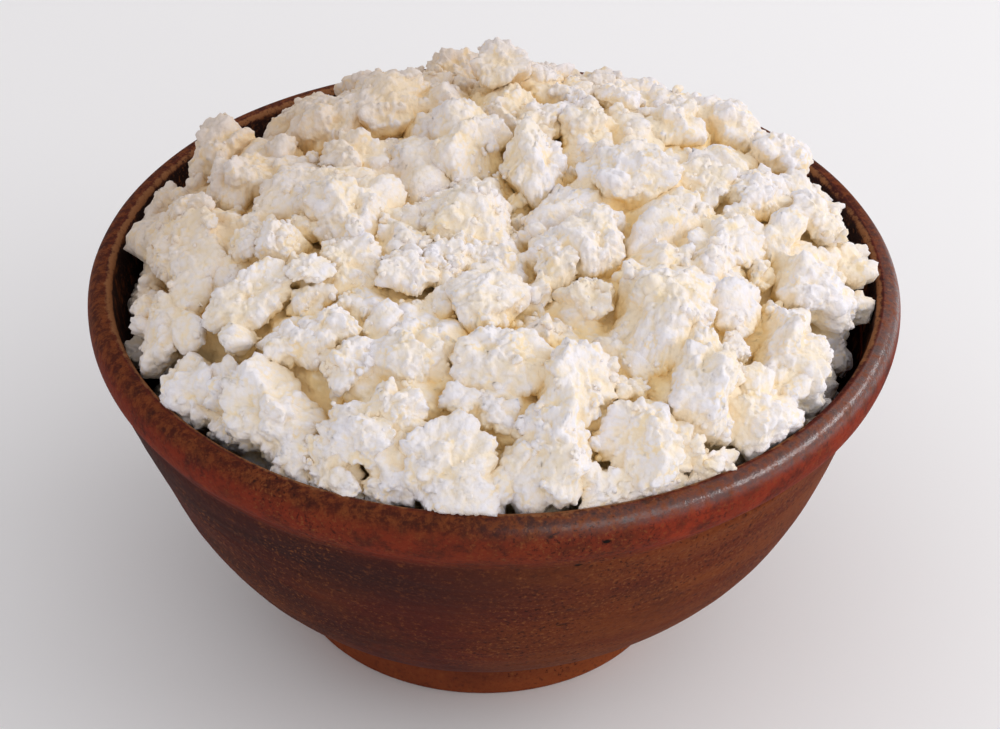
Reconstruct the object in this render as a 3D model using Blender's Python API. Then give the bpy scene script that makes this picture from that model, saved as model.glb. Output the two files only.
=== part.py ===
"""A hand-thrown earthenware bowl heaped with cottage cheese: two solids, the bowl and the heap that fills it.

Metres, +Z up.  The origin is the middle of the foot's flat underside, and the front of the bowl is at -Y.
"""

import math
import random

import bmesh
import bpy
from mathutils import Vector, noise

MM = 0.001

# Driving dimensions of the bowl
RIM_RADIUS = 110 * MM  # outside, at the widest part of the collar
BOWL_HEIGHT = 106 * MM
FOOT_RADIUS = 54 * MM
FOOT_HEIGHT = 11 * MM
FOOT_EDGE = 1.5 * MM  # rounding of the foot's lower edge
COLLAR_HEIGHT = 17 * MM  # from the groove under the collar to the top of the lip
GROOVE_DEPTH = 9 * MM  # how far the groove lies inside the collar's widest part
LIP_THICKNESS = 7 * MM
FLOOR_THICKNESS = 12 * MM
SEGMENTS = 72  # around the bowl, shared by the heap so that their facets face each other

# Driving dimensions of the heap
FIT_GAP = 0.3 * MM  # between the cheese and the glaze
HEAP_CENTRE = Vector((0.0, 0.0, BOWL_HEIGHT - 50 * MM))  # every ray of the heap's surface starts here
MOUND_RADIUS = 103 * MM  # half-width of the smooth mound under the curds, at the heap's centre
MOUND_RISE = 74 * MM  # from the heap's centre to the mound's top
MOUND_POWER = 4.5  # 2 is an ellipsoid, more is fuller at the shoulder
BACK_DROP = 3 * MM  # how much less the mound rises towards the back
HEAP_RINGS = 30  # rows of facets from the top of the heap to the lip
CURD_SINK = 0.05  # how far a curd's middle lies under the mound, in curd radii
GRAIN = 1.1 * MM  # unevenness of each curd's surface
GRAIN_SPACING = 7 * MM

# Where the mound draws back from the wall: direction in degrees from +X, half-width in degrees, depth
HOLLOWS = (
    (139, 17, 15 * MM),
    (181, 14, 3 * MM),
    (36, 10, 10 * MM),
    (-20, 13, 9 * MM),
)

# The large curds: direction in degrees from the front (-Y) towards +X, distance from the axis, length,
# thickness, the heading of the length in degrees from +X, and how far the curd is lifted off the mound
LARGE_CURDS = (
    (-172, 88 * MM, 24 * MM, 16 * MM, 10, -3 * MM),
    (-166, 29 * MM, 30 * MM, 16 * MM, 90, 1 * MM),
    (-166, 74 * MM, 14 * MM, 9 * MM, 0, 4 * MM),
    (-163, 51 * MM, 26 * MM, 15 * MM, 0, 0 * MM),
    (-160, 66 * MM, 24 * MM, 13 * MM, 0, -1 * MM),
    (-156, 84 * MM, 26 * MM, 16 * MM, 160, -1 * MM),
    (-147, 56 * MM, 30 * MM, 17 * MM, 30, 0 * MM),
    (-141, 80 * MM, 24 * MM, 14 * MM, 150, -1 * MM),
    (-133, 65 * MM, 28 * MM, 17 * MM, 22, 0 * MM),
    (-120, 45 * MM, 22 * MM, 13 * MM, 100, 0 * MM),
    (-118, 84 * MM, 20 * MM, 12 * MM, 0, -1 * MM),
    (-104, 72 * MM, 26 * MM, 16 * MM, 0, 0 * MM),
    (-94, 52 * MM, 40 * MM, 15 * MM, 14, 0 * MM),
    (-91, 82 * MM, 18 * MM, 11 * MM, 60, 2 * MM),
    (-80, 85 * MM, 30 * MM, 19 * MM, 100, 1 * MM),
    (-78, 39 * MM, 26 * MM, 18 * MM, 0, 1 * MM),
    (-76, 98 * MM, 16 * MM, 11 * MM, 100, -3 * MM),
    (-68, 61 * MM, 20 * MM, 9 * MM, 90, 2 * MM),
    (-67, 91 * MM, 22 * MM, 12 * MM, 100, 0 * MM),
    (-64, 97 * MM, 16 * MM, 9 * MM, 110, 1 * MM),
    (-57, 75 * MM, 26 * MM, 14 * MM, 20, 0 * MM),
    (-53, 98 * MM, 20 * MM, 13 * MM, 30, 0 * MM),
    (-52, 50 * MM, 22 * MM, 12 * MM, 130, 0 * MM),
    (-44, 99 * MM, 18 * MM, 11 * MM, 130, -2 * MM),
    (-42, 78 * MM, 18 * MM, 11 * MM, 120, 0 * MM),
    (-38, 70 * MM, 14 * MM, 9 * MM, 150, 1 * MM),
    (-36, 95 * MM, 30 * MM, 20 * MM, 150, 0 * MM),
    (-33, 12 * MM, 32 * MM, 20 * MM, 10, 1 * MM),
    (-32, 42 * MM, 16 * MM, 11 * MM, 0, 2 * MM),
    (-29, 77 * MM, 16 * MM, 10 * MM, 0, 0 * MM),
    (-24, 99 * MM, 24 * MM, 12 * MM, 160, 0 * MM),
    (-24, 33 * MM, 16 * MM, 11 * MM, 40, 0 * MM),
    (-20, 91 * MM, 26 * MM, 13 * MM, 160, 0 * MM),
    (-17, 71 * MM, 24 * MM, 16 * MM, 90, 0 * MM),
    (-17, 85 * MM, 18 * MM, 10 * MM, 0, 1 * MM),
    (-15, 98 * MM, 18 * MM, 11 * MM, 0, -1 * MM),
    (-7, 96 * MM, 34 * MM, 20 * MM, 0, 1 * MM),
    (-3, 47 * MM, 22 * MM, 14 * MM, 0, 0 * MM),
    (1, 68 * MM, 26 * MM, 14 * MM, 0, 1 * MM),
    (9, 92 * MM, 30 * MM, 16 * MM, 90, 1 * MM),
    (16, 77 * MM, 26 * MM, 17 * MM, 0, 1 * MM),
    (24, 93 * MM, 24 * MM, 16 * MM, 90, 1 * MM),
    (30, 50 * MM, 18 * MM, 12 * MM, 40, 0 * MM),
    (31, 30 * MM, 20 * MM, 11 * MM, 90, 0 * MM),
    (39, 86 * MM, 30 * MM, 16 * MM, 90, 1 * MM),
    (44, 96 * MM, 24 * MM, 16 * MM, 0, 1 * MM),
    (45, 65 * MM, 32 * MM, 20 * MM, 90, 2 * MM),
    (52, 34 * MM, 26 * MM, 14 * MM, 90, 1 * MM),
    (59, 90 * MM, 28 * MM, 17 * MM, 90, 0 * MM),
    (66, 98 * MM, 16 * MM, 11 * MM, 60, -3 * MM),
    (75, 62 * MM, 24 * MM, 14 * MM, 60, 0 * MM),
    (77, 87 * MM, 30 * MM, 16 * MM, 0, 1 * MM),
    (82, 98 * MM, 16 * MM, 11 * MM, 80, -3 * MM),
    (95, 88 * MM, 18 * MM, 10 * MM, 0, 1 * MM),
    (97, 72 * MM, 18 * MM, 12 * MM, 0, 1 * MM),
    (101, 57 * MM, 22 * MM, 12 * MM, 90, 1 * MM),
    (107, 38 * MM, 30 * MM, 20 * MM, 0, 1 * MM),
    (121, 91 * MM, 20 * MM, 13 * MM, 0, 1 * MM),
    (131, 84 * MM, 24 * MM, 15 * MM, 0, 2 * MM),
    (134, 68 * MM, 18 * MM, 13 * MM, 0, 1 * MM),
    (147, 46 * MM, 20 * MM, 12 * MM, 0, 0 * MM),
    (148, 22 * MM, 38 * MM, 15 * MM, 90, 1 * MM),
    (150, 88 * MM, 26 * MM, 16 * MM, 30, -4 * MM),
    (155, 55 * MM, 18 * MM, 8 * MM, 90, 2 * MM),
    (156, 76 * MM, 22 * MM, 12 * MM, 160, -2 * MM),
    (163, 44 * MM, 18 * MM, 12 * MM, 0, 1 * MM),
    (164, 63 * MM, 20 * MM, 12 * MM, 0, 0 * MM),
    (168, 66 * MM, 16 * MM, 9 * MM, 0, 4 * MM),
    (170, 84 * MM, 26 * MM, 16 * MM, 0, -3 * MM),
    (176, 44 * MM, 26 * MM, 17 * MM, 90, -1 * MM),
    (180, 58 * MM, 20 * MM, 13 * MM, 90, 10 * MM),
)

# The curds between them follow a sunflower spiral
FILLER_COUNT = 120
FILLER_RADIUS = (6 * MM, 9.5 * MM)
FILLER_SEED = 4
GOLDEN_ANGLE = math.pi * (3 - math.sqrt(5))


def bezier(start, first, second, end, steps):
    """Points of a cubic curve from start, left out, to end, with its two handles."""
    points = []
    for i in range(1, steps + 1):
        t = i / steps
        s = 1 - t
        weights = (s**3, 3 * s * s * t, 3 * s * t * t, t**3)
        corners = (start, first, second, end)
        points.append(tuple(sum(w * c[k] for w, c in zip(weights, corners)) for k in (0, 1)))
    return points


def outside_outline():
    """Radius and height down the outside, from the middle of the foot's underside up to the top of the lip."""
    body_start = (FOOT_RADIUS + 2 * MM, FOOT_HEIGHT + 2.5 * MM)
    groove = (RIM_RADIUS - GROOVE_DEPTH, BOWL_HEIGHT - COLLAR_HEIGHT)
    widest = (RIM_RADIUS, BOWL_HEIGHT - 5.5 * MM)
    lip_top = (RIM_RADIUS - 0.66 * LIP_THICKNESS, BOWL_HEIGHT)

    points = [(0.0, 0.0), (FOOT_RADIUS - FOOT_EDGE, 0.0)]
    points += bezier(
        points[-1],
        (FOOT_RADIUS - FOOT_EDGE / 2, 0.0),
        (FOOT_RADIUS, FOOT_EDGE / 2),
        (FOOT_RADIUS, FOOT_EDGE),
        2,
    )
    points.append((FOOT_RADIUS + 0.3 * MM, 0.55 * FOOT_HEIGHT))
    points += bezier(
        points[-1],
        (FOOT_RADIUS, FOOT_HEIGHT),
        (FOOT_RADIUS + 0.5 * MM, FOOT_HEIGHT + 1.2 * MM),
        body_start,
        3,
    )
    points += bezier(
        body_start,
        (body_start[0] + 31 * MM, body_start[1] + 17 * MM),
        (groove[0] - 5 * MM, 58 * MM),
        (groove[0] + 1 * MM, groove[1] - 2.5 * MM),
        7,
    )
    points.append(groove)
    points += bezier(
        groove,
        (groove[0] + 5.5 * MM, groove[1] + 0.3 * MM),
        (RIM_RADIUS + 0.3 * MM, groove[1] + 5 * MM),
        widest,
        4,
    )
    points += bezier(
        widest,
        (RIM_RADIUS - 0.2 * MM, BOWL_HEIGHT - 2 * MM),
        (RIM_RADIUS - 2 * MM, BOWL_HEIGHT),
        lip_top,
        3,
    )
    return points


def inside_outline():
    """Radius and height down the inside, from the inner edge of the lip to the middle of the floor."""
    inner_edge = (RIM_RADIUS - LIP_THICKNESS, BOWL_HEIGHT - 2.5 * MM)
    floor = (0.0, FLOOR_THICKNESS)
    wall = bezier(
        inner_edge,
        (inner_edge[0] - 5 * MM, 64 * MM),
        (70 * MM, FLOOR_THICKNESS),
        floor,
        9,
    )
    return [inner_edge] + wall


def add_object(name, bm, colour, roughness):
    """A smooth-shaded object from the mesh bm, with a material of its own."""
    mesh = bpy.data.meshes.new(name)
    bm.to_mesh(mesh)
    bm.free()
    mesh.shade_smooth()
    mesh.set_sharp_from_angle(angle=math.radians(50))

    material = bpy.data.materials.new(name)
    material.use_nodes = True
    shader = material.node_tree.nodes["Principled BSDF"]
    shader.inputs["Base Color"].default_value = (*colour, 1.0)
    shader.inputs["Roughness"].default_value = roughness
    shader.inputs["Metallic"].default_value = 0.0
    mesh.materials.append(material)

    obj = bpy.data.objects.new(name, mesh)
    bpy.context.collection.objects.link(obj)
    return obj


def make_bowl():
    """The bowl: its outline turned about the axis."""
    outline = outside_outline() + inside_outline()
    bm = bmesh.new()
    verts = [bm.verts.new((radius, 0.0, height)) for radius, height in outline]
    edges = [bm.edges.new(pair) for pair in zip(verts, verts[1:])]
    bmesh.ops.spin(
        bm,
        geom=verts + edges,
        cent=(0, 0, 0),
        axis=(0, 0, 1),
        angle=2 * math.pi,
        steps=SEGMENTS,
        use_duplicate=False,
        use_merge=True,
    )
    bmesh.ops.remove_doubles(bm, verts=bm.verts, dist=0.01 * MM)
    bmesh.ops.recalc_face_normals(bm, faces=bm.faces)
    return add_object("bowl", bm, (0.16, 0.05, 0.03), 0.35)


def mound_reach(ray):
    """Distance from the heap's centre to the smooth mound along a unit vector.

    The mound is a superellipsoid: (r / width) ** power + (z / rise) ** power = 1.  Its width shrinks by
    a bell-shaped bite at each hollow, and its rise towards the back.
    """
    heading = math.degrees(math.atan2(ray.y, ray.x))
    width = MOUND_RADIUS
    for direction, spread, depth in HOLLOWS:
        turn = (heading - direction + 180) % 360 - 180
        width -= depth * math.exp(-((turn / spread) ** 2))
    sideways = math.hypot(ray.x, ray.y) / width
    upwards = max(ray.z, 0.0) / (MOUND_RISE - BACK_DROP * max(ray.y, 0.0))
    return (sideways**MOUND_POWER + upwards**MOUND_POWER) ** (-1 / MOUND_POWER)


def mound_point(direction, distance):
    """The place on the mound, from the heap's centre, over a direction and a distance from the axis."""
    azimuth = math.radians(direction - 90)
    low, high = 0.0, math.pi / 2
    for _ in range(30):
        tilt = (low + high) / 2
        ray = Vector((math.sin(tilt) * math.cos(azimuth), math.sin(tilt) * math.sin(azimuth), math.cos(tilt)))
        if mound_reach(ray) * math.sin(tilt) < distance:
            low = tilt
        else:
            high = tilt
    return ray * mound_reach(ray)


def curd_balls():
    """Every curd as balls (middle, radius): a long curd is a row of balls, a filler curd a single one."""
    balls = []
    for direction, distance, length, thickness, heading, lift in LARGE_CURDS:
        radius = thickness / 2
        place = mound_point(direction, distance)
        middle = place + place.normalized() * (lift - radius * CURD_SINK)
        along = Vector((math.cos(math.radians(heading)), math.sin(math.radians(heading)), 0.0))
        along -= along.project(place)
        along.normalize()
        count = max(1, round(2 * (length - thickness) / thickness) + 1)
        for i in range(count):
            offset = (i / (count - 1) - 0.5) * (length - thickness) if count > 1 else 0.0
            balls.append((middle + along * offset, radius))

    rng = random.Random(FILLER_SEED)
    for i in range(FILLER_COUNT):
        distance = (MOUND_RADIUS - 8 * MM) * math.sqrt((i + 0.5) / FILLER_COUNT)
        direction = math.degrees(i * GOLDEN_ANGLE) + rng.uniform(-6, 6)
        radius = rng.uniform(*FILLER_RADIUS)
        place = mound_point(direction, distance)
        middle = place - place.normalized() * radius * rng.uniform(0.4, 0.9)
        balls.append((middle, radius))
    return balls


def curd_reach(ray, balls):
    """Distance from the heap's centre to the far side of the farthest ball that the ray meets."""
    reach = 0.0
    for middle, radius in balls:
        along = ray.dot(middle)
        inside = radius**2 - middle.length_squared + along**2
        if along > 0 and inside > 0:
            reach = max(reach, along + math.sqrt(inside))
    return reach


def wall_rays():
    """Tilt from +Z, and distance to the wall less the gap, of each point of the inside outline."""
    rays = []
    for radius, height in inside_outline():
        rise = height - HEAP_CENTRE.z
        rays.append((math.atan2(radius, rise), math.hypot(radius, rise) - 1.2 * FIT_GAP))
    return rays


def make_cheese():
    """The heap: on each ray from its centre, the curds or the mound, whichever is farther, inside the wall."""
    wall = wall_rays()
    lip_tilt = wall[0][0]
    inner_radius = inside_outline()[0][0] - FIT_GAP
    tilts = [lip_tilt * i / HEAP_RINGS for i in range(1, HEAP_RINGS)]
    rows = [(tilt, inner_radius / math.sin(tilt)) for tilt in tilts] + wall[:-1]
    balls = curd_balls()

    def surface_point(tilt, azimuth, limit):
        ray = Vector((math.sin(tilt) * math.cos(azimuth), math.sin(tilt) * math.sin(azimuth), math.cos(tilt)))
        reach = max(mound_reach(ray), curd_reach(ray, balls))
        wobble = GRAIN * noise.noise(ray * reach / GRAIN_SPACING)
        return HEAP_CENTRE + ray * min(reach + wobble, limit)

    bm = bmesh.new()
    top = bm.verts.new(surface_point(0.0, 0.0, 1.0))
    rings = []
    for tilt, limit in rows:
        turns = (2 * math.pi * k / SEGMENTS for k in range(SEGMENTS))
        rings.append([bm.verts.new(surface_point(tilt, turn, limit)) for turn in turns])
    bottom = bm.verts.new(HEAP_CENTRE - Vector((0.0, 0.0, wall[-1][1])))

    for k in range(SEGMENTS):
        following = (k + 1) % SEGMENTS
        bm.faces.new((top, rings[0][k], rings[0][following]))
        bm.faces.new((bottom, rings[-1][following], rings[-1][k]))
        for upper, lower in zip(rings, rings[1:]):
            bm.faces.new((upper[k], lower[k], lower[following], upper[following]))
    bmesh.ops.recalc_face_normals(bm, faces=bm.faces)
    bmesh.ops.triangulate(bm, faces=bm.faces, quad_method="SHORT_EDGE")
    return add_object("cottage_cheese", bm, (0.9, 0.86, 0.77), 0.6)


def main():
    for obj in list(bpy.data.objects):
        bpy.data.objects.remove(obj, do_unlink=True)
    make_bowl()
    make_cheese()


main()
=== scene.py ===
"""The looks of an earthenware bowl heaped with cottage cheese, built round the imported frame.

The bowl is a turned outline with the marks of the thrower's hand.  The heap is a core under several kinds of
curd, each kind one piece: every curd is a cluster of balls seen from its middle, roughened with grains.
"""

import itertools
import math

import bpy
import numpy as np
from mathutils import Matrix, Vector


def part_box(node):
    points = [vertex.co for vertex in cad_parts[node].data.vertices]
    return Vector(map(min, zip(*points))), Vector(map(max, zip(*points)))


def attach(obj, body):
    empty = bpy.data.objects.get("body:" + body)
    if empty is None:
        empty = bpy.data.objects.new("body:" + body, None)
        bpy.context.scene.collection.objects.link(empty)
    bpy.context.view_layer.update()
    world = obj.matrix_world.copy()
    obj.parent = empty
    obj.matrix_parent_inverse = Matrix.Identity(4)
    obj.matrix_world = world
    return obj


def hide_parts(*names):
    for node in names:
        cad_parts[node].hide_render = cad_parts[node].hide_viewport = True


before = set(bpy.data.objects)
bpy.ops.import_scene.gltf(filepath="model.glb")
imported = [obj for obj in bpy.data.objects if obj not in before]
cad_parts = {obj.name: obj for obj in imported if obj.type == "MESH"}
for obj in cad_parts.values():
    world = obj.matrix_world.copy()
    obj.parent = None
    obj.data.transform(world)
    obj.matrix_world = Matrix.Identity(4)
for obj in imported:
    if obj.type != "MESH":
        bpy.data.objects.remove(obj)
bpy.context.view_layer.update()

MM = 0.001

# ---------------------------------------------------------------- sizes, from the frame
BOWL_HIGH = Vector(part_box("bowl")[1])
RIM_RADIUS = BOWL_HIGH.x
RIM_TOP = BOWL_HIGH.z

LIP_THICKNESS = 7 * MM
COLLAR_HEIGHT = 17 * MM
FOOT_RADIUS = 54 * MM
FOOT_HEIGHT = 11 * MM
FLOOR_THICKNESS = 12 * MM

HEAP_CENTRE = np.array([0.0, 0.0, RIM_TOP - 50 * MM])
MOUND_RADIUS = 103 * MM
MOUND_RISE = 74 * MM
MOUND_POWER = 4.5
BACK_DROP = 3 * MM  # how much less it rises towards the back

# Where the mound draws back from the wall: heading in degrees from +X, half-width in degrees, depth
HOLLOWS = (
    (139, 17, 15 * MM),
    (181, 14, 3 * MM),
    (36, 10, 10 * MM),
    (-20, 13, 9 * MM),
)

rng = np.random.default_rng(11)


# ---------------------------------------------------------------- noise in space
def scramble(cells, salt):
    """Whole-number cells turned into repeatable 32-bit noise by multiplying, folding and mixing the bits."""
    bits = cells[..., 0] * 73856093 ^ cells[..., 1] * 19349663 ^ cells[..., 2] * 83492791 ^ salt * 40503
    bits = (bits & 0xFFFFFFFF).astype(np.uint32)
    bits ^= bits >> np.uint32(15)
    bits *= np.uint32(2246822519)
    bits ^= bits >> np.uint32(13)
    bits *= np.uint32(3266489917)
    bits ^= bits >> np.uint32(16)
    return bits


def grains(places, size, salt):
    """Height of round grains packed at random, 0 to about 1.

    Space is cut into cubes of the given size with one ball in each, and the height is radius squared less
    distance squared, for the ball that gives the most, over its greatest value.
    """
    spot = places / size
    home = np.floor(spot).astype(np.int64)
    best = np.zeros(len(spot))
    for step in itertools.product((-1, 0, 1), repeat=3):
        cell = home + np.array(step)
        bits = scramble(cell, salt)
        middle = np.stack([bits & 1023, (bits >> 10) & 1023, (bits >> 20) & 1023], axis=-1) / 1023.0
        away = spot - cell - middle
        radius = 0.45 + 0.4 * ((bits >> 5) & 255) / 255.0
        best = np.maximum(best, radius**2 - (away**2).sum(axis=-1))
    return best / 0.72


def drift(places, size, salt):
    """Smooth noise, -1 to 1: random values at the corners of a cubic lattice, blended by a smoothstep."""
    spot = places / size
    home = np.floor(spot).astype(np.int64)
    part = spot - home
    ease = part * part * (3 - 2 * part)
    total = np.zeros(len(spot))
    for step in itertools.product((0, 1), repeat=3):
        corner = np.array(step)
        weight = np.where(corner == 1, ease, 1 - ease).prod(axis=-1)
        total += weight * (scramble(home + corner, salt) / 2147483648.0 - 1.0)
    return total


def smoothstep(low, high, value):
    """0 below low, 1 above high, and a smooth rise between."""
    t = np.clip((value - low) / (high - low), 0.0, 1.0)
    return t * t * (3 - 2 * t)


# ---------------------------------------------------------------- meshes
def add_piece(name, points, faces, material, marks):
    """A mesh object at the origin from arrays of points and faces, with float attributes for its material."""
    mesh = bpy.data.meshes.new(name)
    mesh.vertices.add(len(points))
    mesh.vertices.foreach_set("co", np.ascontiguousarray(points, dtype=np.float32).ravel())
    sizes = (faces >= 0).sum(axis=1)
    loops = faces[faces >= 0]
    mesh.loops.add(len(loops))
    mesh.loops.foreach_set("vertex_index", loops.astype(np.int32))
    mesh.polygons.add(len(faces))
    mesh.polygons.foreach_set("loop_start", np.concatenate([[0], np.cumsum(sizes)[:-1]]).astype(np.int32))
    mesh.polygons.foreach_set("use_smooth", np.ones(len(faces), bool))
    mesh.update(calc_edges=True)
    mesh.validate()
    for mark, values in marks.items():
        attribute = mesh.attributes.new(mark, "FLOAT", "POINT")
        attribute.data.foreach_set("value", np.ascontiguousarray(values, dtype=np.float32).ravel())
    mesh.materials.append(material)
    piece = bpy.data.objects.new(name, mesh)
    bpy.context.collection.objects.link(piece)
    return piece


def ring_faces(rings, spokes):
    """Quads between closed rings of points, and fans to the one point numbered before and after them."""
    ring, spoke = np.meshgrid(np.arange(rings - 1), np.arange(spokes), indexing="ij")
    start = 1 + ring * spokes
    following = (spoke + 1) % spokes
    corners = [start + spoke, start + spokes + spoke, start + spokes + following, start + following]
    quads = np.stack(corners, axis=-1)
    turn = np.arange(spokes)
    after = (turn + 1) % spokes
    none = np.full(spokes, -1)
    last = 1 + (rings - 1) * spokes
    first_fan = np.stack([np.zeros(spokes, int), 1 + turn, 1 + after, none], -1)
    last_fan = np.stack([np.full(spokes, last + spokes), last + after, last + turn, none], -1)
    return np.concatenate([first_fan, quads.reshape(-1, 4), last_fan])


# ---------------------------------------------------------------- the bowl's outline
def bezier(start, first, second, end, steps):
    """Points of a cubic curve from start, left out, to end, with its two handles."""
    t = np.arange(1, steps + 1)[:, None] / steps
    corners = [np.array(corner) for corner in (start, first, second, end)]
    weights = [(1 - t) ** 3, 3 * t * (1 - t) ** 2, 3 * t * t * (1 - t), t**3]
    return sum(w * c for w, c in zip(weights, corners))


def outside_outline(fine):
    """Radius and height up the outside, from the edge of the foot's underside to the top of the lip."""
    foot_start = (FOOT_RADIUS - 1.5 * MM, 0.0)
    foot_side = (FOOT_RADIUS, 1.5 * MM)
    foot_waist = (FOOT_RADIUS + 0.3 * MM, 0.55 * FOOT_HEIGHT)
    body_start = (FOOT_RADIUS + 2 * MM, FOOT_HEIGHT + 2.5 * MM)
    groove = (RIM_RADIUS - 9 * MM, RIM_TOP - COLLAR_HEIGHT)
    body_end = (groove[0] + 1 * MM, groove[1] - 2.5 * MM)
    widest = (RIM_RADIUS, RIM_TOP - 5.5 * MM)
    lip_top = (RIM_RADIUS - 0.66 * LIP_THICKNESS, RIM_TOP)
    return np.concatenate(
        [
            np.array([foot_start]),
            bezier(foot_start, (foot_start[0] + 1 * MM, 0.0), (FOOT_RADIUS, 0.7 * MM), foot_side, 4 * fine),
            bezier(foot_side, foot_side, foot_waist, foot_waist, 5 * fine),
            bezier(
                foot_waist,
                (FOOT_RADIUS, FOOT_HEIGHT),
                (FOOT_RADIUS + 0.5 * MM, FOOT_HEIGHT + 1.2 * MM),
                body_start,
                7 * fine,
            ),
            bezier(
                body_start,
                (body_start[0] + 31 * MM, body_start[1] + 17 * MM),
                (groove[0] - 5 * MM, 58 * MM),
                body_end,
                36 * fine,
            ),
            bezier(body_end, body_end, groove, groove, 3 * fine),
            bezier(
                groove,
                (groove[0] + 5.5 * MM, groove[1] + 0.3 * MM),
                (RIM_RADIUS + 0.3 * MM, groove[1] + 5 * MM),
                widest,
                12 * fine,
            ),
            bezier(
                widest,
                (RIM_RADIUS - 0.2 * MM, RIM_TOP - 2 * MM),
                (RIM_RADIUS - 2 * MM, RIM_TOP),
                lip_top,
                7 * fine,
            ),
        ]
    )


def inside_outline(fine):
    """Radius and height down the inside, from the top of the lip to near the middle of the floor."""
    lip_top = (RIM_RADIUS - 0.66 * LIP_THICKNESS, RIM_TOP)
    edge = (RIM_RADIUS - LIP_THICKNESS, RIM_TOP - 2.5 * MM)
    floor_middle = (0.0, FLOOR_THICKNESS)
    wall = bezier(edge, (edge[0] - 5 * MM, 64 * MM), (70 * MM, FLOOR_THICKNESS), floor_middle, 26 * fine)
    turn = bezier(lip_top, (lip_top[0] - 1.4 * MM, RIM_TOP), (edge[0], RIM_TOP - 0.6 * MM), edge, 4 * fine)
    return np.concatenate([turn, wall])


WALL = inside_outline(4)[::-1]


def wall_radius(height):
    """Inside radius of the bowl at a height, and without limit above the lip."""
    return np.where(height < RIM_TOP - 0.5 * MM, np.interp(height, WALL[:, 1], WALL[:, 0]), 1.0)


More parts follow.
